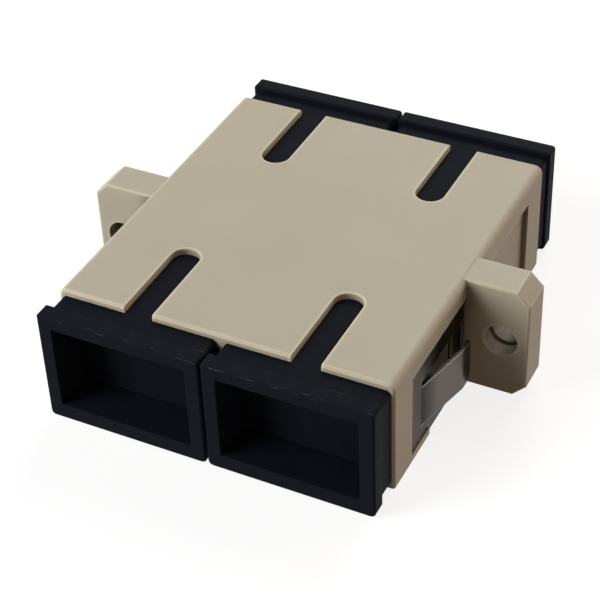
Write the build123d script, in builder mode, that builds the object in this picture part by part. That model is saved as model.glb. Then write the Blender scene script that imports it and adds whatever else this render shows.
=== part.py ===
from build123d import *
import os
from math import cos, radians, sin

os.makedirs("parts", exist_ok=True)

# Duplex fibre optic adapter of the push-pull 2.5 mm ferrule kind, with its four dust caps.
# Millimetres. X runs across the two channels, Y from the front ports to the rear ports, Z is up.
# The origin is under the middle of the housing, on the plane of its flat underside.

# Housing: one moulding, with two channels side by side.
channel_pitch = 12.7
housing_width = 25.4
housing_length = 27.4
housing_height = 9.3
top_edge_radius = 0.6
bottom_edge_radius = 0.3
end_edge_chamfer = 0.15

# Port of each channel, a seat for the cap round its mouth, and a keyway through the top wall.
port_width = 9.1
port_height = 7.5
port_corner_radius = 0.3
seat_width = 11.4
seat_height = 8.0
seat_depth = 1.0
keyway_width = 2.25
keyway_length = 7.7

# Wall in the middle of each channel, which the two latch carriers meet from both sides.
web_thickness = 1.0
web_window_radius = 2.7

# Ears that carry the screws, at the middle of the housing's length.
ears_width = 34.7
ear_thickness = 2.8
ear_top_drop = 0.1
ear_corner = 1.0
ear_edge_radius = 0.15
screw_spacing = 30.6
screw_hole_radius = 1.1
screw_mouth_radius = 1.28

# Shallow side recesses, in front of the ears and behind them.
recess_depth = 0.4
recess_end_margin = 2.85
recess_top_margin = 1.65
ledge_height = 0.8
ledge_length = 3.1
flex_pocket_depth = 0.5
flex_pocket_margin = 0.1
slit_pocket_width = 0.5
slit_pocket_depth = 0.4

# Retaining clip: one strip of spring steel that wraps under the housing, with an arm in each
# front side recess and a tongue lanced out of each arm.
clip_thickness = 0.3
clip_end_gap = 0.35
clip_top_gap = 0.2
clip_rear_gap = 0.2
clip_ledge_gap = 0.1
clip_bend_radius = 0.5
strap_width = 3.7
strap_lift = 0.05
strap_gap = 0.08
frame_strip = 1.45
frame_top_strip = 1.5
leg_width = 0.35
leg_length = 5.0
lance_slit = 0.12
tongue_base = 2.05
tongue_height = 3.45
tongue_slope_length = 4.9
tongue_angle = 13.6
tongue_flat_length = 1.15
tongue_bend_radius = 1.5
tongue_root_lap = 0.4

# Dust caps: lip, neck and shoulder, then a hollow skirt and a key inside the port. The lip and its
# pocket sit higher than the middle of the port by their rises.
lip_width = 12.55
lip_height = 9.1
lip_rise = 0.05
lip_thickness = 1.3
lip_top_radius = 0.25
lip_bottom_radius = 0.4
lip_edge_chamfer = 0.12
neck_width = 12.15
neck_height = 8.3
neck_length = 1.75
neck_corner_radius = 0.4
pocket_width = 10.4
pocket_height = 6.75
pocket_rise = 0.18
pocket_depth = 3.3
pocket_corner_radius = 0.12
cap_floor = 0.7
skirt_wall = 0.6
cap_clearance = 0.05
key_clearance = 0.08
key_end_gap = 0.08

# Latch carriers: a base plate, a tube for the alignment sleeve and two hooks beside it.
carrier_clearance = 0.03
base_thickness = 1.2
sleeve_radius = 1.6
sleeve_bore_radius = 1.25
sleeve_length = 11.4
sleeve_slit = 0.4
sleeve_clearance = 0.06
sleeve_end_gap = 0.1
tube_wall = 0.55
tube_end_wall = 0.6
ferrule_hole_radius = 1.32
ferrule_hole_flare = 0.3
hook_inner = 2.65
hook_thickness = 0.75
hook_width = 3.2
hook_length = 6.4
hook_nose = 0.45
hook_nose_length = 0.9
hook_nose_tip = 0.22
hook_back_taper = 0.25

# Places worked out from the sizes above.
middle_height = housing_height / 2
half_width = housing_width / 2
half_length = housing_length / 2
half_ear = ear_thickness / 2
recess_floor = half_width - recess_depth
recess_end = half_length - recess_end_margin
recess_top = housing_height - recess_top_margin
arm_face = recess_floor + clip_thickness
arm_front = -recess_end + clip_end_gap
arm_rear = -half_ear - clip_rear_gap
arm_top = recess_top - clip_top_gap
arm_bottom = ledge_height + clip_ledge_gap
window_front = arm_front + frame_strip
window_top = arm_top - frame_top_strip
strap_front = -recess_end + ledge_length + strap_gap
strap_rear = strap_front + strap_width
strap_top = strap_lift + clip_thickness
arm_split = tongue_base - lance_slit
tongue_rise = tongue_slope_length * sin(radians(tongue_angle))
tongue_knee = window_front + tongue_slope_length * cos(radians(tongue_angle))
tongue_tip = tongue_knee + tongue_flat_length
pocket_rear = -half_ear
neck_start = neck_length + lip_thickness
sleeve_room = sleeve_length / 2 + sleeve_end_gap
tube_radius = sleeve_radius + sleeve_clearance + tube_wall
channel_places = {"left": -channel_pitch / 2, "right": channel_pitch / 2}
end_signs = {"front": -1, "rear": 1}


def port_plane(side, end, outward):
    """A plane across a channel, facing out of its port, at a distance outward of the housing's end."""
    sign = end_signs[end]
    return Plane(
        origin=(channel_places[side], sign * (half_length + outward), middle_height),
        x_dir=(-sign, 0, 0),
        z_dir=(0, sign, 0),
    )


# The body's section is rounded along its upper edges and nearly sharp underneath.
with BuildPart() as housing:
    with BuildSketch(Plane.XZ.offset(-half_length)):
        with Locations((0, middle_height)):
            Rectangle(housing_width, housing_height)
        fillet(vertices().group_by(Axis.Y)[0], bottom_edge_radius)
        fillet(vertices().group_by(Axis.Y)[-1], top_edge_radius)
    extrude(amount=housing_length)
    end_faces = faces().filter_by(Axis.Y)
    chamfer(end_faces.edges(), end_edge_chamfer)

    # The ears stand out to both sides and stop a little under the top of the body.
    ear_height = housing_height - ear_top_drop
    with BuildSketch(Plane.XZ.offset(-half_ear)):
        with Locations((0, ear_height / 2)):
            Rectangle(ears_width, ear_height)
        chamfer(vertices(), ear_corner)
    extrude(amount=ear_thickness)
    outer_edges = edges().filter_by(lambda e: abs(e.center().X) > half_width + ear_edge_radius)
    fillet(outer_edges.filter_by(Plane.XZ), ear_edge_radius)

    # Screw holes, wider in their front half.
    with BuildSketch(Plane.XZ.offset(half_ear)):
        with Locations((-screw_spacing / 2, middle_height), (screw_spacing / 2, middle_height)):
            Circle(screw_hole_radius)
    extrude(amount=-ear_thickness, mode=Mode.SUBTRACT)
    with BuildSketch(Plane.XZ.offset(half_ear)):
        with Locations((-screw_spacing / 2, middle_height), (screw_spacing / 2, middle_height)):
            Circle(screw_mouth_radius)
    extrude(amount=-half_ear, mode=Mode.SUBTRACT)

    for side in channel_places:
        for end in end_signs:
            # The mouth seat, then the port down to the wall in the middle.
            with BuildSketch(port_plane(side, end, 0)):
                RectangleRounded(seat_width, seat_height, port_corner_radius)
            extrude(amount=-seat_depth, mode=Mode.SUBTRACT)
            with BuildSketch(port_plane(side, end, 0)):
                RectangleRounded(port_width, port_height, port_corner_radius)
            extrude(amount=-(half_length - web_thickness / 2), mode=Mode.SUBTRACT)
        with BuildSketch(Plane.XZ.offset(-half_length)):
            with Locations((channel_places[side], middle_height)):
                Circle(web_window_radius)
        extrude(amount=housing_length, mode=Mode.SUBTRACT)

    # Keyways open at the housing's ends and end in a half circle.
    with BuildSketch(Plane.XY.offset(middle_height)):
        for side in channel_places:
            for end in end_signs:
                round_centre = half_length - keyway_length + keyway_width / 2
                straight = half_length - round_centre
                with Locations((channel_places[side], end_signs[end] * (round_centre + straight / 2))):
                    Rectangle(keyway_width, straight)
                with Locations((channel_places[side], end_signs[end] * round_centre)):
                    Circle(keyway_width / 2)
    extrude(amount=housing_height, mode=Mode.SUBTRACT)

    # Side recesses. The front ones keep a ledge under the clip's arm, ahead of its strap.
    for hand in (-1, 1):
        wall = Plane(origin=(hand * half_width, 0, 0), x_dir=(0, 1, 0), z_dir=(1, 0, 0))
        with BuildSketch(wall):
            with Locations((-recess_end, ledge_height)):
                Rectangle(ledge_length, recess_top - ledge_height, align=(Align.MIN, Align.MIN))
            with Locations((-recess_end + ledge_length, 0)):
                Rectangle(recess_end - ledge_length - half_ear, recess_top, align=(Align.MIN, Align.MIN))
            with Locations((half_ear, 0)):
                Rectangle(recess_end - half_ear, recess_top, align=(Align.MIN, Align.MIN))
        extrude(amount=-hand * recess_depth, mode=Mode.SUBTRACT)

        # Room behind the arm for the tongue to spring in, open below beside the ear.
        floor_plane = Plane(origin=(hand * recess_floor, 0, 0), x_dir=(0, 1, 0), z_dir=(1, 0, 0))
        with BuildSketch(floor_plane):
            with Locations((window_front, arm_split)):
                Rectangle(
                    pocket_rear - window_front,
                    window_top + flex_pocket_margin - arm_split,
                    align=(Align.MIN, Align.MIN),
                )
            with Locations((strap_rear + strap_gap, 0)):
                Rectangle(
                    pocket_rear - strap_rear - strap_gap,
                    window_top,
                    align=(Align.MIN, Align.MIN),
                )
        extrude(amount=-hand * flex_pocket_depth, mode=Mode.SUBTRACT)
        with BuildSketch(floor_plane):
            with Locations((arm_rear - leg_width - slit_pocket_width, tongue_base)):
                Rectangle(slit_pocket_width, window_top - tongue_base, align=(Align.MIN, Align.MIN))
        extrude(amount=-hand * (flex_pocket_depth + slit_pocket_depth), mode=Mode.SUBTRACT)

    # Groove under the housing that takes the strap.
    with BuildSketch(Plane.XY):
        with Locations((0, (strap_front + strap_rear) / 2)):
            Rectangle(housing_width, strap_width + 2 * strap_gap)
    extrude(amount=strap_top, mode=Mode.SUBTRACT)

housing.part.label = "housing"
export_step(housing.part, "parts/housing.step")


# The strap and the lower arms are one bent strip, the frames above are blanked from it.
with BuildPart() as clip:
    with BuildSketch(Plane.XZ.offset(-strap_front)):
        with Locations((0, strap_lift)):
            Rectangle(2 * arm_face, arm_split - strap_lift, align=(Align.CENTER, Align.MIN))
        fillet(vertices().group_by(Axis.Y)[0], clip_bend_radius)
        with Locations((0, strap_top)):
            Rectangle(2 * recess_floor, tongue_base, align=(Align.CENTER, Align.MIN), mode=Mode.SUBTRACT)
    extrude(amount=-strap_width)

    for hand in (-1, 1):
        blank = Plane(origin=(hand * recess_floor, 0, 0), x_dir=(0, 1, 0), z_dir=(1, 0, 0))
        with BuildSketch(blank):
            with BuildLine():
                Polyline(
                    (arm_front, arm_bottom),
                    (arm_front, arm_top),
                    (arm_rear, arm_top),
                    (arm_rear, arm_top - leg_length),
                    (arm_rear - leg_width, arm_top - leg_length),
                    (arm_rear - leg_width, window_top),
                    (window_front, window_top),
                    (window_front, arm_split),
                    (strap_rear, arm_split),
                    (strap_rear, strap_lift + clip_bend_radius),
                    (strap_front, strap_lift + clip_bend_radius),
                    (strap_front, arm_bottom),
                    close=True,
                )
            make_face()
        extrude(amount=hand * clip_thickness)

        # The tongue leaves the front strip, slopes outwards and ends parallel to the side.
        with BuildSketch(Plane.XY.offset(tongue_base)):
            with BuildLine():
                FilletPolyline(
                    (hand * recess_floor, window_front - tongue_root_lap),
                    (hand * recess_floor, window_front),
                    (hand * (recess_floor + tongue_rise), tongue_knee),
                    (hand * (recess_floor + tongue_rise), tongue_tip),
                    radius=tongue_bend_radius,
                )
                offset(amount=clip_thickness, side=Side.RIGHT if hand > 0 else Side.LEFT)
            make_face()
        extrude(amount=tongue_height)

clip.part.label = "retaining_clip"
export_step(clip.part, "parts/retaining_clip.step")


# A dust cap for each port. Its outside is lip, neck and shoulder, its inside a skirt with a key.
shoulder_end = -seat_depth + cap_clearance
skirt_width = port_width - 2 * cap_clearance
skirt_height = port_height - 2 * cap_clearance
skirt_end = -keyway_length + key_end_gap
key_width = keyway_width - 2 * key_clearance
for side in channel_places:
    for end in end_signs:
        with BuildPart() as cap:
            with BuildSketch(port_plane(side, end, neck_length)):
                with Locations((0, lip_rise)):
                    Rectangle(lip_width, lip_height)
                fillet(vertices().group_by(Axis.Y)[0], lip_bottom_radius)
                fillet(vertices().group_by(Axis.Y)[-1], lip_top_radius)
            extrude(amount=lip_thickness)
            chamfer(edges().filter_by(Plane.XZ), lip_edge_chamfer)

            with BuildSketch(port_plane(side, end, 0)):
                RectangleRounded(neck_width, neck_height, neck_corner_radius)
            extrude(amount=neck_length)
            with BuildSketch(port_plane(side, end, 0)):
                RectangleRounded(
                    seat_width - 2 * cap_clearance, seat_height - 2 * cap_clearance, port_corner_radius
                )
            extrude(amount=shoulder_end)

            # The skirt, and the key that fills the keyway up to the height of the neck.
            with BuildSketch(port_plane(side, end, 0)):
                RectangleRounded(skirt_width, skirt_height, port_corner_radius)
            extrude(amount=skirt_end)
            with BuildSketch(Plane.XY.offset(middle_height)):
                key_round = half_length - keyway_length + key_end_gap + key_width / 2
                sign = end_signs[end]
                with Locations((channel_places[side], sign * (key_round + half_length) / 2)):
                    Rectangle(key_width, half_length - key_round)
                with Locations((channel_places[side], sign * key_round)):
                    Circle(key_width / 2)
            extrude(amount=neck_height / 2)

            # The pocket in front and the hollow behind the floor.
            with BuildSketch(port_plane(side, end, neck_start)):
                with Locations((0, pocket_rise)):
                    RectangleRounded(pocket_width, pocket_height, pocket_corner_radius)
            extrude(amount=-pocket_depth, mode=Mode.SUBTRACT)
            floor_back = neck_start - pocket_depth - cap_floor
            with BuildSketch(port_plane(side, end, floor_back)):
                Rectangle(skirt_width - 2 * skirt_wall, skirt_height - 2 * skirt_wall)
            extrude(amount=skirt_end - floor_back, mode=Mode.SUBTRACT)

        cap.part.label = f"{end}_{side}_cap"
        export_step(cap.part, f"parts/{end}_{side}_cap.step")


# A latch carrier stands on each side of the wall in a channel, with its hooks towards the port.
base_face = half_length - web_thickness / 2
for side in channel_places:
    for end in end_signs:
        with BuildPart() as carrier:
            with BuildSketch(port_plane(side, end, -base_face)):
                Rectangle(port_width - 2 * carrier_clearance, port_height - 2 * carrier_clearance)
                chamfer(vertices(), port_corner_radius)
            extrude(amount=base_thickness)
            with BuildSketch(port_plane(side, end, -half_length)):
                Circle(tube_radius)
            extrude(amount=sleeve_room + tube_end_wall)
            with BuildSketch(port_plane(side, end, -half_length)):
                Circle(sleeve_radius + sleeve_clearance)
            extrude(amount=sleeve_room, mode=Mode.SUBTRACT)
            with BuildSketch(port_plane(side, end, -half_length)):
                Circle(ferrule_hole_radius)
            extrude(amount=sleeve_room + tube_end_wall, mode=Mode.SUBTRACT)
            rims = edges().filter_by(GeomType.CIRCLE).group_by(Axis.Y)[0 if end == "front" else -1]
            chamfer(rims.sort_by(SortBy.RADIUS)[0], ferrule_hole_flare)

            # Two sprung hooks, seen from above: a straight arm that ends in an inward nose.
            sign = end_signs[end]
            hook_foot = sign * (web_thickness / 2 + base_thickness)
            hook_tip = sign * (web_thickness / 2 + base_thickness + hook_length)
            nose_back = hook_tip - sign * hook_nose_length
            with BuildSketch(Plane.XY.offset(middle_height - hook_width / 2)):
                for hand in (-1, 1):
                    inner = channel_places[side] + hand * hook_inner
                    outer = inner + hand * hook_thickness
                    with BuildLine():
                        Polyline(
                            (inner, hook_foot),
                            (inner, nose_back),
                            (inner - hand * hook_nose, nose_back),
                            (inner - hand * hook_nose_tip, hook_tip),
                            (outer - hand * hook_back_taper, hook_tip),
                            (outer, nose_back),
                            (outer, hook_foot),
                            close=True,
                        )
                    make_face()
            extrude(amount=hook_width)

        carrier.part.label = f"{end}_{side}_carrier"
        export_step(carrier.part, f"parts/{end}_{side}_carrier.step")


# A split alignment sleeve floats in each pair of carriers.
for side in channel_places:
    with BuildPart() as sleeve:
        with BuildSketch(Plane.XZ.offset(-sleeve_length / 2)):
            with Locations((channel_places[side], middle_height)):
                Circle(sleeve_radius)
                Circle(sleeve_bore_radius, mode=Mode.SUBTRACT)
            with Locations((channel_places[side], middle_height)):
                Rectangle(
                    sleeve_slit, 2 * sleeve_radius, align=(Align.CENTER, Align.MIN), mode=Mode.SUBTRACT
                )
        extrude(amount=sleeve_length)

    sleeve.part.label = f"{side}_sleeve"
    export_step(sleeve.part, f"parts/{side}_sleeve.step")
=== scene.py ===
# %% [markdown]
# A duplex fibre optic adapter
#
# The object joins two pairs of push-pull plugs and is smaller than a matchbox: a flat beige moulding with
# an ear on each side, a spring steel clip for a panel, and four black dust caps. All its pieces have their
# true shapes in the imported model, so this lesson is about finish and light: what each piece is made of,
# how its surface came about, and how a small product is lit on white so that its hollows still read.

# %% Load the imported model
from math import cos, radians, sin

import bpy
from mathutils import Matrix, Vector


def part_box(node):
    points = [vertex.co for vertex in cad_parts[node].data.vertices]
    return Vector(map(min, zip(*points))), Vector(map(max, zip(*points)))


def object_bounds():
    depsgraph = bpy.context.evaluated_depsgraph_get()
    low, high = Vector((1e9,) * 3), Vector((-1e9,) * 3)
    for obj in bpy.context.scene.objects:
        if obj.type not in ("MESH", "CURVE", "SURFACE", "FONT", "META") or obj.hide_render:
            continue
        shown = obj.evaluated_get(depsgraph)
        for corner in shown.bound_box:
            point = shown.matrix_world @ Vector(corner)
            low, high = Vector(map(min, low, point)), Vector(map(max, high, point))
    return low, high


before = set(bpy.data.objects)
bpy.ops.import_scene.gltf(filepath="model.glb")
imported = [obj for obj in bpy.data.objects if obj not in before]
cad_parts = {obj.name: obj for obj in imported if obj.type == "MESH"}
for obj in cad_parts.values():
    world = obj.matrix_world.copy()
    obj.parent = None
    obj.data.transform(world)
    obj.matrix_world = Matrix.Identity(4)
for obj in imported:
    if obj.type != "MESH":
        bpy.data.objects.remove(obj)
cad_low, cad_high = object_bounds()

mm = 0.001
print("pieces:", ", ".join(sorted(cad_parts)))
print("size in mm:", [round(side / mm, 2) for side in cad_high - cad_low])

# %% [markdown]
# Helpers
#
# Colours are written as the eye meets them on a screen, in hex. Blender calculates with linear light, so
# one function converts them. Shader nodes could be placed and wired by hand in the shader editor. In a
# script each takes several lines, so a second function adds a node, sets it and wires it in one call, and
# a material reads from top to bottom.

# %% Colour helper
def linear(hex_colour):
    """A screen colour such as #B5AE9A as linear red, green, blue and alpha, by the sRGB standard."""
    channels = [int(hex_colour[start:start + 2], 16) / 255 for start in (1, 3, 5)]
    return [c / 12.92 if c <= 0.04045 else ((c + 0.055) / 1.055) ** 2.4 for c in channels] + [1.0]


print("mid grey #808080 is", round(linear("#808080")[0], 3), "in linear light")

# %% Node helpers
def add_node(tree, kind, settings=None, values=None, links=None):
    """Adds one node, with its settings, the values of its sockets and the outputs that feed them."""
    node = tree.nodes.new(kind)
    for name, value in (settings or {}).items():
        setattr(node, name, value)
    for socket, value in (values or {}).items():
        node.inputs[socket].default_value = value
    for socket, output in (links or {}).items():
        tree.links.new(output, node.inputs[socket])
    return node


def new_material(name):
    """An empty node material with that name."""
    material = bpy.data.materials.new(name)
    material.use_nodes = True
    material.node_tree.nodes.clear()
    return material


print("materials so far:", len(bpy.data.materials))

# %% [markdown]
# The housing: moulded PBT
#
# The housing is injection moulded from beige PBT, in a tool whose walls were spark eroded. That leaves a
# very fine matt grain that scatters light, so the top reads as one even, soft tone. It could have one flat
# colour, but that looks like painted card. So the colour is built up in layers: the moulded tone comes
# first, then a painted highlight along the edges, with a little rubbed wear in it, and last painted shade
# in the hollows.

# %% Housing: moulded tone and grain
# The tone drifts a little across the top, as pigment does in the melt. The real grain is about 0.03 mm
# across. That is too fine to show, so it is drawn coarser.
tone_size = 7.0 * mm
grain_size = 0.16 * mm

pbt = new_material("moulded_pbt_beige")
tree = pbt.node_tree
place = add_node(tree, "ShaderNodeTexCoord").outputs["Object"]
tone = add_node(tree, "ShaderNodeTexNoise", values={"Scale": 1 / tone_size, "Detail": 3.0},
                links={"Vector": place})
grain = add_node(tree, "ShaderNodeTexNoise", values={"Scale": 1 / grain_size, "Detail": 2.0},
                 links={"Vector": place})
beige = add_node(tree, "ShaderNodeMix", {"data_type": "RGBA"},
                 {"A": linear("#AFA893"), "B": linear("#B7B19D")}, {"Factor": tone.outputs["Fac"]})
print("tone drifts over", round(tone_size / mm, 2), "mm, grain drawn at", round(grain_size / mm, 2), "mm")

# %% [markdown]
# Painted highlight on the edges
#
# Rounded edges of a moulding catch the light, so the edges are made paler: a painted highlight, with a
# little wear from handling in it. It could be painted on a UV map, but the pieces have none, and paint
# wouldn't follow a changed shape. So the shader finds the edges by itself: it rounds the normal over some
# width, and where the rounded normal turns away from the true one, there is an edge. Their dot product is
# the cosine of that turn, so the mask grows as it drops.

# %% Housing: painted highlight on the edges
mask_samples = 8
pale_edge_width = 0.4 * mm
pale_edge_share = 0.8


def edge_mask(tree, width, full_drop):
    """0 on flat ground, and 1 where the cosine has dropped by full_drop."""
    rounded = add_node(tree, "ShaderNodeBevel", {"samples": mask_samples}, {"Radius": width})
    true = add_node(tree, "ShaderNodeNewGeometry")
    cosine = add_node(tree, "ShaderNodeVectorMath", {"operation": "DOT_PRODUCT"},
                      links={0: rounded.outputs["Normal"], 1: true.outputs["Normal"]})
    turned = add_node(tree, "ShaderNodeMapRange", values={"From Min": 1.0, "From Max": 1.0 - full_drop},
                      links={"Value": cosine.outputs["Value"]})
    return turned.outputs["Result"]


# The paler edge colour is a painted highlight, with a little rubbed wear in it.
pale_edges = add_node(tree, "ShaderNodeMath", {"operation": "MULTIPLY"}, {1: pale_edge_share},
                {0: edge_mask(tree, pale_edge_width, full_drop=0.09)})
highlighted = add_node(tree, "ShaderNodeMix", {"data_type": "RGBA"}, {"B": linear("#D2CBB7")},
                  {"Factor": pale_edges.outputs[0], "A": beige.outputs["Result"]})
print("edges are rubbed over", round(pale_edge_width / mm, 2), "mm")

# %% [markdown]
# Painted shade in the hollows
#
# Deep in the screw holes and the flex pockets little light gets in, so there the housing is made browner:
# this is painted shade. A dark gradient could be laid over each hollow by its place, but there are many,
# and each would need its own numbers. A hollow is also where short rays from the surface soon meet the
# same piece again, which is ambient occlusion. It is measured on the housing alone, so the floor and the
# caps don't darken it.

# %% Housing: painted shade in the hollows
hollow_reach = 2.4 * mm
shallow_openness = 0.85
deep_openness = 0.48
hollow_shade_share = 0.85

openness = add_node(tree, "ShaderNodeAmbientOcclusion", {"samples": mask_samples, "only_local": True},
                    {"Distance": hollow_reach})
hollow = add_node(tree, "ShaderNodeMapRange",
                  values={"From Min": shallow_openness, "From Max": deep_openness},
                  links={"Value": openness.outputs["AO"]})
hollow_shade = add_node(tree, "ShaderNodeMath", {"operation": "MULTIPLY"}, {1: hollow_shade_share},
                {0: hollow.outputs["Result"]})
# The dark brown is painted shade, mixed in where the hollow is deep.
colour = add_node(tree, "ShaderNodeMix", {"data_type": "RGBA"}, {"B": linear("#4A3C2A")},
                  {"Factor": hollow_shade.outputs[0], "A": highlighted.outputs["Result"]})
print("a hollow is judged within", round(hollow_reach / mm, 2), "mm")

# %% [markdown]
# The surface of the housing
#
# The grain sets how matt the plastic is and raises it a little. It could be real geometry, but that takes
# millions of faces, and bump gives the eye the same. Light also sinks a little way into PBT, red the
# deepest, which makes its shadows soft and warm. Most edges of the mesh are knife-sharp and no moulding's
# are, so the normal is rounded by as much as a new tool leaves.

# %% Housing: surface
normal_samples = 6
housing_edge_radius = 0.05 * mm
grain_depth = 0.012 * mm
scatter_depth = 0.4 * mm
scatter_by_colour = (1.0, 0.7, 0.45)

roughness = add_node(tree, "ShaderNodeMapRange", values={"To Min": 0.48, "To Max": 0.62},
                     links={"Value": grain.outputs["Fac"]})
rounded = add_node(tree, "ShaderNodeBevel", {"samples": normal_samples}, {"Radius": housing_edge_radius})
bump = add_node(tree, "ShaderNodeBump", values={"Strength": 0.35, "Distance": grain_depth},
                links={"Height": grain.outputs["Fac"], "Normal": rounded.outputs["Normal"]})
surface = add_node(tree, "ShaderNodeBsdfPrincipled",
                   values={"IOR": 1.52, "Specular IOR Level": 0.35, "Subsurface Weight": 0.8,
                           "Subsurface Radius": scatter_by_colour, "Subsurface Scale": scatter_depth},
                   links={"Base Color": colour.outputs["Result"], "Roughness": roughness.outputs["Result"],
                          "Normal": bump.outputs["Normal"]})
add_node(tree, "ShaderNodeOutputMaterial", links={"Surface": surface.outputs["BSDF"]})
print("light sinks", round(scatter_depth / mm, 2), "mm into the housing")

# %% [markdown]
# Dressing a piece
#
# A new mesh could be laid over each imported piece, but its shape is true already, and it rides on the right
# body. So the piece stays, and only the material in its slots is changed.

# %% Dress the housing
def dress(ending, material):
    """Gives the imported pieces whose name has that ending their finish. Their meshes stay as they are."""
    names = sorted(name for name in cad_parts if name.endswith(ending))
    for name in names:
        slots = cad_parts[name].data.materials
        slots.clear()
        slots.append(material)
    print(material.name, "on", ", ".join(names))


dress("housing", pbt)

# %% [markdown]
# The dust caps: moulded polyethylene
#
# Dust caps are soft black polyethylene, pigmented with carbon, and moulded in a plain polished tool. Soft
# plastic never keeps a mirror: its skin is slightly wavy and waxy, so it shows a weak, broad sheen with a
# cold cast. Pure black would be the simple choice, but it leaves no shading to tell the form by. So the
# colour is a very dark blue grey.

# %% Caps: skin
# The skin waves over about a millimetre. The tool's polishing marks are some hundredths of a millimetre,
# too fine to show, so they are drawn coarser.
skin_size = 1.1 * mm
polish_size = 0.12 * mm

polyethylene = new_material("moulded_polyethylene_black")
tree = polyethylene.node_tree
place = add_node(tree, "ShaderNodeTexCoord").outputs["Object"]
skin = add_node(tree, "ShaderNodeTexNoise", values={"Scale": 1 / skin_size, "Detail": 4.0},
                links={"Vector": place})
polish = add_node(tree, "ShaderNodeTexNoise", values={"Scale": 1 / polish_size, "Detail": 2.0},
                  links={"Vector": place})
black = add_node(tree, "ShaderNodeMix", {"data_type": "RGBA"},
                 {"A": linear("#0E1117"), "B": linear("#13161D")}, {"Factor": skin.outputs["Fac"]})
print("skin waves over", round(skin_size / mm, 2), "mm")

# %% [markdown]
# Scuffs
#
# Soft plastic scuffs, and each rub leaves a short grey streak. The streaks could be modelled as scratches,
# but they have no depth to see, so they are colour. A noise is stretched along X, only its peaks count,
# and they are kept to the upper edges of the two front caps, where the photo shows them.

# %% Caps: pattern of the scuffs
scuff_size = 0.45 * mm
scuff_stretch = (0.4, 1.2, 1.2)

stretch = add_node(tree, "ShaderNodeMapping", values={"Scale": scuff_stretch}, links={"Vector": place})
rubs = add_node(tree, "ShaderNodeTexNoise", values={"Scale": 1 / scuff_size, "Detail": 5.0},
                links={"Vector": stretch.outputs["Vector"]})
peaks = add_node(tree, "ShaderNodeMapRange", values={"From Min": 0.55, "From Max": 0.68},
                 links={"Value": rubs.outputs["Fac"]})
print("scuffs are about", round(scuff_size / mm / scuff_stretch[0], 2), "mm long")

# %% Caps: place of the scuffs
# Above scuffs_start they fade in, and at scuffs_full they have their whole strength. Y is negative in
# front of the middle.
cap_edge_radius = 0.09 * mm
lip_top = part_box("front_left_cap")[1].z
scuffs_start = lip_top - 0.45 * mm
scuffs_full = lip_top - 0.3 * mm

axes = add_node(tree, "ShaderNodeSeparateXYZ", links={"Vector": place})
on_top = add_node(tree, "ShaderNodeMapRange", values={"From Min": scuffs_start, "From Max": scuffs_full},
                  links={"Value": axes.outputs["Z"]})
in_front = add_node(tree, "ShaderNodeMath", {"operation": "LESS_THAN"}, {1: 0.0}, {0: axes.outputs["Y"]})
reached = add_node(tree, "ShaderNodeMath", {"operation": "MULTIPLY"},
                   links={0: on_top.outputs["Result"], 1: in_front.outputs[0]})
exposed = add_node(tree, "ShaderNodeMath", {"operation": "MULTIPLY"},
                   links={0: reached.outputs[0], 1: edge_mask(tree, cap_edge_radius, full_drop=0.2)})
scuffs = add_node(tree, "ShaderNodeMath", {"operation": "MULTIPLY"},
                  links={0: peaks.outputs["Result"], 1: exposed.outputs[0]})
colour = add_node(tree, "ShaderNodeMix", {"data_type": "RGBA"}, {"B": linear("#7C7E80")},
                  {"Factor": scuffs.outputs[0], "A": black.outputs["Result"]})
print("scuffs lie from", round(scuffs_start / mm, 2), "to", round(lip_top / mm, 2), "mm up")

# %% Caps: surface
# Waxy: half rough, with hardly any gloss, and with edges that are softer than the housing's.
polish_depth = 0.01 * mm

roughness = add_node(tree, "ShaderNodeMapRange", values={"To Min": 0.5, "To Max": 0.66},
                     links={"Value": skin.outputs["Fac"]})
rounded = add_node(tree, "ShaderNodeBevel", {"samples": normal_samples}, {"Radius": cap_edge_radius})
bump = add_node(tree, "ShaderNodeBump", values={"Strength": 0.25, "Distance": polish_depth},
                links={"Height": polish.outputs["Fac"], "Normal": rounded.outputs["Normal"]})
surface = add_node(tree, "ShaderNodeBsdfPrincipled", values={"IOR": 1.51, "Specular IOR Level": 0.03},
                   links={"Base Color": colour.outputs["Result"], "Roughness": roughness.outputs["Result"],
                          "Normal": bump.outputs["Normal"]})
add_node(tree, "ShaderNodeOutputMaterial", links={"Surface": surface.outputs["BSDF"]})
dress("_cap", polyethylene)

# %% [markdown]
# The clip: rolled spring steel
#
# The clip is blanked from a strip of spring steel that was rolled and tempered. Its arms are dark grey and
# slightly brown: a painted reflection, which stands for the shaded floor that they mirror. The tongues,
# which stand out of the side, are paler than the arms. Tongues and arms could be two meshes with a material
# each, but they are one strip. One material tells them apart by how far out from the middle they are.

# %% Clip: arms with a painted reflection, paler tongues
# A metal has no colour under its gloss. Its base colour is the share of the white room that it mirrors,
# so the arms' low share paints in a dark reflection. The end of a tongue stands a little over 1.1 mm out
# of the arm. The tongues' paler colour starts just off the arm's face and has its whole strength past the
# tongue's root.
temper_size = 2.5 * mm
tongue_rise = 1.1 * mm
root_rise = 0.4 * mm
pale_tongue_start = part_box("retaining_clip")[1].x - tongue_rise

steel = new_material("rolled_spring_steel")
tree = steel.node_tree
place = add_node(tree, "ShaderNodeTexCoord").outputs["Object"]
temper = add_node(tree, "ShaderNodeTexNoise", values={"Scale": 1 / temper_size, "Detail": 2.0},
                  links={"Vector": place})
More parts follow.
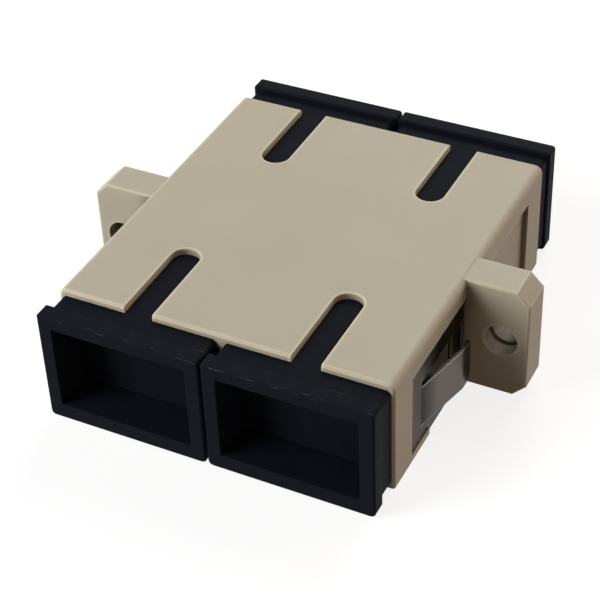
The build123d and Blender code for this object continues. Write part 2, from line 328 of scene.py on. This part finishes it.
# The two dark arm colours are a painted reflection.
arms = add_node(tree, "ShaderNodeMix", {"data_type": "RGBA"},
                {"A": linear("#2A2826"), "B": linear("#3B3835")}, {"Factor": temper.outputs["Fac"]})
axes = add_node(tree, "ShaderNodeSeparateXYZ", links={"Vector": place})
outward = add_node(tree, "ShaderNodeMath", {"operation": "ABSOLUTE"}, links={0: axes.outputs["X"]})
tongues = add_node(tree, "ShaderNodeMapRange",
                   values={"From Min": pale_tongue_start, "From Max": pale_tongue_start + root_rise},
                   links={"Value": outward.outputs[0]})
strip = add_node(tree, "ShaderNodeMix", {"data_type": "RGBA"}, {"B": linear("#66615D")},
                 {"Factor": tongues.outputs["Result"], "A": arms.outputs["Result"]})
print("tongues are rubbed beyond", round(pale_tongue_start / mm, 2), "mm from the middle")

# %% [markdown]
# Cut edges: painted highlight and shade
#
# Each cut edge gets two painted lines. A little way in from the edge a paler line is a painted highlight,
# where the edge catches the light, and on the edge itself a dark line is painted shade, for the gap between
# the clip and the housing. They could be narrow faces in the mesh, which the imported clip doesn't have,
# so both follow the edge mask. Its weak values, a little way in from the edge, are the highlight, and its
# strong ones, on the edge itself, are the shade.

# %% Clip: cut edges, painted highlight and shade
cut_width = 0.22 * mm

edges = edge_mask(tree, cut_width, full_drop=0.3)
edge_highlight = add_node(tree, "ShaderNodeMapRange", values={"From Min": 0.05, "From Max": 0.35},
                     links={"Value": edges})
gap_shade = add_node(tree, "ShaderNodeMapRange", values={"From Min": 0.55, "From Max": 0.95},
                links={"Value": edges})
# A painted highlight in from each cut edge, and painted shade on the edge itself.
bright = add_node(tree, "ShaderNodeMix", {"data_type": "RGBA"}, {"B": linear("#96918A")},
                  {"Factor": edge_highlight.outputs["Result"], "A": strip.outputs["Result"]})
colour = add_node(tree, "ShaderNodeMix", {"data_type": "RGBA"}, {"B": linear("#1E1B18")},
                  {"Factor": gap_shade.outputs["Result"], "A": bright.outputs["Result"]})
print("cut edges show over", round(cut_width / mm, 2), "mm")

# %% Clip: surface
# Rolling draws fine lines along the strip, which runs up the arms, so the noise is stretched along Z. To
# the eye they break the gloss into soft streaks. Real lines are about 0.01 mm wide, too fine to show, so
# they are drawn coarser. The tint stands for the tempering oxide, which dims the gloss at a low angle.
line_width = 0.09 * mm
line_stretch = (0.3, 1.0, 0.04)
line_depth = 0.006 * mm
clip_edge_radius = 0.06 * mm

along = add_node(tree, "ShaderNodeMapping", values={"Scale": line_stretch}, links={"Vector": place})
lines = add_node(tree, "ShaderNodeTexNoise", values={"Scale": 1 / line_width, "Detail": 3.0},
                 links={"Vector": along.outputs["Vector"]})
roughness = add_node(tree, "ShaderNodeMapRange", values={"To Min": 0.16, "To Max": 0.4},
                     links={"Value": lines.outputs["Fac"]})
rounded = add_node(tree, "ShaderNodeBevel", {"samples": normal_samples}, {"Radius": clip_edge_radius})
bump = add_node(tree, "ShaderNodeBump", values={"Strength": 0.3, "Distance": line_depth},
                links={"Height": lines.outputs["Fac"], "Normal": rounded.outputs["Normal"]})
surface = add_node(tree, "ShaderNodeBsdfPrincipled",
                   values={"Metallic": 1.0, "Specular Tint": linear("#DAD7D5")},
                   links={"Base Color": colour.outputs["Result"], "Roughness": roughness.outputs["Result"],
                          "Normal": bump.outputs["Normal"]})
add_node(tree, "ShaderNodeOutputMaterial", links={"Surface": surface.outputs["BSDF"]})
dress("_clip", steel)

# %% [markdown]
# The latch carriers: natural plastic
#
# With a cap pulled out, a latch carrier shows in the port. It is moulded from natural, uncoloured plastic,
# so it looks like ivory and satin, and lets a little light into its thin hooks. One flat colour would look
# painted even there. More than a faint cloud in its colour and gloss isn't needed, because it is seen only
# in the shade of the port.

# %% Latch carriers
cloud_size = 2.0 * mm
cloud_depth = 0.01 * mm

natural = new_material("moulded_plastic_natural")
tree = natural.node_tree
place = add_node(tree, "ShaderNodeTexCoord").outputs["Object"]
cloud = add_node(tree, "ShaderNodeTexNoise", values={"Scale": 1 / cloud_size, "Detail": 3.0},
                 links={"Vector": place})
colour = add_node(tree, "ShaderNodeMix", {"data_type": "RGBA"},
                  {"A": linear("#CFC7B2"), "B": linear("#DAD3C1")}, {"Factor": cloud.outputs["Fac"]})
roughness = add_node(tree, "ShaderNodeMapRange", values={"To Min": 0.36, "To Max": 0.5},
                     links={"Value": cloud.outputs["Fac"]})
bump = add_node(tree, "ShaderNodeBump", values={"Strength": 0.2, "Distance": cloud_depth},
                links={"Height": cloud.outputs["Fac"]})
surface = add_node(tree, "ShaderNodeBsdfPrincipled",
                   values={"IOR": 1.55, "Subsurface Weight": 0.15, "Subsurface Scale": scatter_depth},
                   links={"Base Color": colour.outputs["Result"], "Roughness": roughness.outputs["Result"],
                          "Normal": bump.outputs["Normal"]})
add_node(tree, "ShaderNodeOutputMaterial", links={"Surface": surface.outputs["BSDF"]})
dress("_carrier", natural)

# %% [markdown]
# The sleeves: turned phosphor bronze
#
# In the carriers' tubes sit two split sleeves that line the plugs' ferrules up. They are turned from
# phosphor bronze and slit. The turning tool leaves fine rings round the axis, which runs along Y, and they
# spread the warm gloss along the sleeve. They could be modelled as grooves, but they are finer than the
# mesh, so a wave texture with its bands across Y draws them in gloss and bump. It makes about three bands
# in each unit of its scale.

# %% Split sleeves
# Real rings are about 0.03 mm apart, too fine to show, so they are drawn coarser.
ring_pitch = 0.08 * mm
bands_in_a_unit = 3.125
stain_size = 1.5 * mm
ring_depth = 0.004 * mm

bronze = new_material("turned_phosphor_bronze")
tree = bronze.node_tree
place = add_node(tree, "ShaderNodeTexCoord").outputs["Object"]
rings = add_node(tree, "ShaderNodeTexWave", {"bands_direction": "Y"},
                 {"Scale": 1 / (ring_pitch * bands_in_a_unit), "Distortion": 0.6, "Detail": 2.0},
                 {"Vector": place})
stain = add_node(tree, "ShaderNodeTexNoise", values={"Scale": 1 / stain_size, "Detail": 3.0},
                 links={"Vector": place})
colour = add_node(tree, "ShaderNodeMix", {"data_type": "RGBA"},
                  {"A": linear("#B98A5E"), "B": linear("#CFA173")}, {"Factor": stain.outputs["Fac"]})
roughness = add_node(tree, "ShaderNodeMapRange", values={"To Min": 0.22, "To Max": 0.36},
                     links={"Value": rings.outputs["Fac"]})
bump = add_node(tree, "ShaderNodeBump", values={"Strength": 0.2, "Distance": ring_depth},
                links={"Height": rings.outputs["Fac"]})
surface = add_node(tree, "ShaderNodeBsdfPrincipled", values={"Metallic": 1.0},
                   links={"Base Color": colour.outputs["Result"], "Roughness": roughness.outputs["Result"],
                          "Normal": bump.outputs["Normal"]})
add_node(tree, "ShaderNodeOutputMaterial", links={"Surface": surface.outputs["BSDF"]})
dress("_sleeve", bronze)

# %% [markdown]
# The floor
#
# A product on white needs a floor that the camera sees as white, and that still holds the soft shadow that
# puts the object on the ground. A strong lamp could whiten it, but would bleach the object too. So the
# white comes from the floor itself: the camera, gloss and glass see a plain glow with a little lamplight
# on top, and the object's shadow takes the lamplight away. To light that bounces off it the floor is
# darker, so the sides of the object keep their depth.

# %% Floor: who looks at it
def seen_directly(tree):
    """1 for the camera, for gloss and for glass, and 0 for light that bounces."""
    path = add_node(tree, "ShaderNodeLightPath")
    shiny = add_node(tree, "ShaderNodeMath", {"operation": "MAXIMUM"},
                     links={0: path.outputs["Is Camera Ray"], 1: path.outputs["Is Glossy Ray"]})
    either = add_node(tree, "ShaderNodeMath", {"operation": "MAXIMUM"},
                      links={0: shiny.outputs[0], 1: path.outputs["Is Transmission Ray"]})
    return either.outputs[0]


board = new_material("matt_white_board")
tree = board.node_tree
direct = seen_directly(tree)
print("floor material:", board.name)

# %% Floor: lamplight
floor_bounce = 0.1
floor_seen = 0.24

grey = add_node(tree, "ShaderNodeMix", {"data_type": "RGBA"},
                {"A": [floor_bounce] * 3 + [1.0], "B": [floor_seen] * 3 + [1.0]}, {"Factor": direct})
matt = add_node(tree, "ShaderNodeBsdfDiffuse", links={"Color": grey.outputs["Result"]})
print("the floor shows", floor_seen, "of the lamplight and throws", floor_bounce, "of it at the object")

# %% Floor: glow
# Round the object the glow leaves room for the lamplight. Further out it rises to full white, so no
# horizon shows where the lamplight fades.
floor_glow = 0.83
rise_start = 70 * mm
rise_end = 150 * mm

place = add_node(tree, "ShaderNodeTexCoord").outputs["Object"]
away = add_node(tree, "ShaderNodeVectorMath", {"operation": "LENGTH"}, links={0: place})
level = add_node(tree, "ShaderNodeMapRange",
                 values={"From Min": rise_start, "From Max": rise_end, "To Min": floor_glow, "To Max": 1.0},
                 links={"Value": away.outputs["Value"]})
share = add_node(tree, "ShaderNodeMath", {"operation": "MULTIPLY"},
                 links={0: direct, 1: level.outputs["Result"]})
glow = add_node(tree, "ShaderNodeEmission", links={"Strength": share.outputs[0]})
both = add_node(tree, "ShaderNodeAddShader", links={0: matt.outputs["BSDF"], 1: glow.outputs["Emission"]})
add_node(tree, "ShaderNodeOutputMaterial", links={"Surface": both.outputs["Shader"]})
print("the floor glows by", floor_glow, "and fully from", round(rise_end / mm), "mm out")

# %% Floor: plane
floor_size = 4.0

bpy.ops.object.select_all(action="DESELECT")
bpy.ops.mesh.primitive_plane_add(size=floor_size, location=(0, 0, cad_low.z))
floor = bpy.context.object
floor.name = "floor"
floor.data.transform(floor.matrix_world)
floor.matrix_world = Matrix.Identity(4)
floor.data.materials.append(board)
print("floor", floor_size, "m wide")

# %% [markdown]
# White surroundings
#
# Past the floor, the camera and all that is glossy look into the world. A picture of a studio could be put
# there, but it would light the object in its own way. So the world is plain white to look at and gives no
# light, and the softboxes alone model the object.

# %% World
world = bpy.data.worlds.new("white_surroundings")
world.use_nodes = True
tree = world.node_tree
tree.nodes.clear()
sky = add_node(tree, "ShaderNodeBackground", values={"Color": linear("#FFFFFF")},
               links={"Strength": seen_directly(tree)})
add_node(tree, "ShaderNodeOutputWorld", links={"Surface": sky.outputs["Background"]})
bpy.context.scene.world = world
print("world:", world.name)

# %% [markdown]
# Lamps
#
# Point lamps would cast hard shadows, so five softboxes stand round the object, as in a photo studio. The
# key hangs above the front left and gives the top its even tone. A low one at the front left fills the
# fronts of the caps and ears, and the body keeps most of it off the right ear, so that corner falls into
# shade as in the photo. One above the back evens out the top, and two weak warm ones on the right light
# the side and the clip. The watts are small because the object is: from a third of a metre, half a watt
# already makes a pale colour render as it is written.

# %% Softboxes
warm = (1.0, 0.8, 0.68)
warmer = (1.0, 0.72, 0.52)


def softbox(name, place, size, watts, tint=(1.0, 1.0, 1.0)):
    """A square area lamp that points at the object."""
    lamp = bpy.data.lights.new(name, "AREA")
    lamp.size = size
    lamp.energy = watts
    lamp.color = tint
    holder = bpy.data.objects.new(name, lamp)
    holder.location = place
    holder.rotation_mode = "QUATERNION"
    holder.rotation_quaternion = (-Vector(place)).to_track_quat("-Z", "Y")
    bpy.context.scene.collection.objects.link(holder)
    print(name, watts, "W from", round(Vector(place).length, 2), "m")


softbox("key_above_front", place=(-0.185, -0.175, 0.23), size=0.14, watts=0.58)
softbox("key_front_left", place=(-0.20, -0.24, 0.08), size=0.16, watts=0.68)
softbox("fill_above_back", place=(0.0, 0.24, 0.24), size=0.2, watts=0.54)
softbox("rim_back_right", place=(0.22, 0.22, 0.10), size=0.16, watts=0.31, tint=warm)
softbox("fill_front_right", place=(0.24, -0.16, 0.12), size=0.2, watts=0.16, tint=warmer)

# %% [markdown]
# Camera
#
# The camera stands where the photo was taken from. It could be placed by eye, but then hardly an edge
# would lie where the photo has it, so its place was worked out from the object's straight edges. It looks
# down on the front right corner from close by, through a long lens, turned a little about its axis.

# %% Camera
camera_azimuth = radians(27.85)
camera_elevation = radians(38.33)
camera_roll = radians(-2.5)
camera_distance = 129.27 * mm
camera_target = Vector((-1.1, 0.0, 2.025)) * mm
focal_length_mm = 103.71
film_width_mm = 36.0

back = Vector((sin(camera_azimuth) * cos(camera_elevation),
               -cos(camera_azimuth) * cos(camera_elevation),
               sin(camera_elevation)))
lens = bpy.data.cameras.new("camera")
lens.lens = focal_length_mm
lens.sensor_width = film_width_mm
lens.clip_start = 10 * mm
camera = bpy.data.objects.new("camera", lens)
camera.location = camera_target + back * camera_distance
camera.rotation_mode = "QUATERNION"
turn = (-back).to_track_quat("-Z", "Y").to_matrix() @ Matrix.Rotation(camera_roll, 3, "Z")
camera.rotation_quaternion = turn.to_quaternion()
bpy.context.scene.collection.objects.link(camera)
bpy.context.scene.camera = camera
bpy.context.scene.view_settings.view_transform = "Standard"
print("camera at", [round(c / mm, 1) for c in camera.location], "mm")
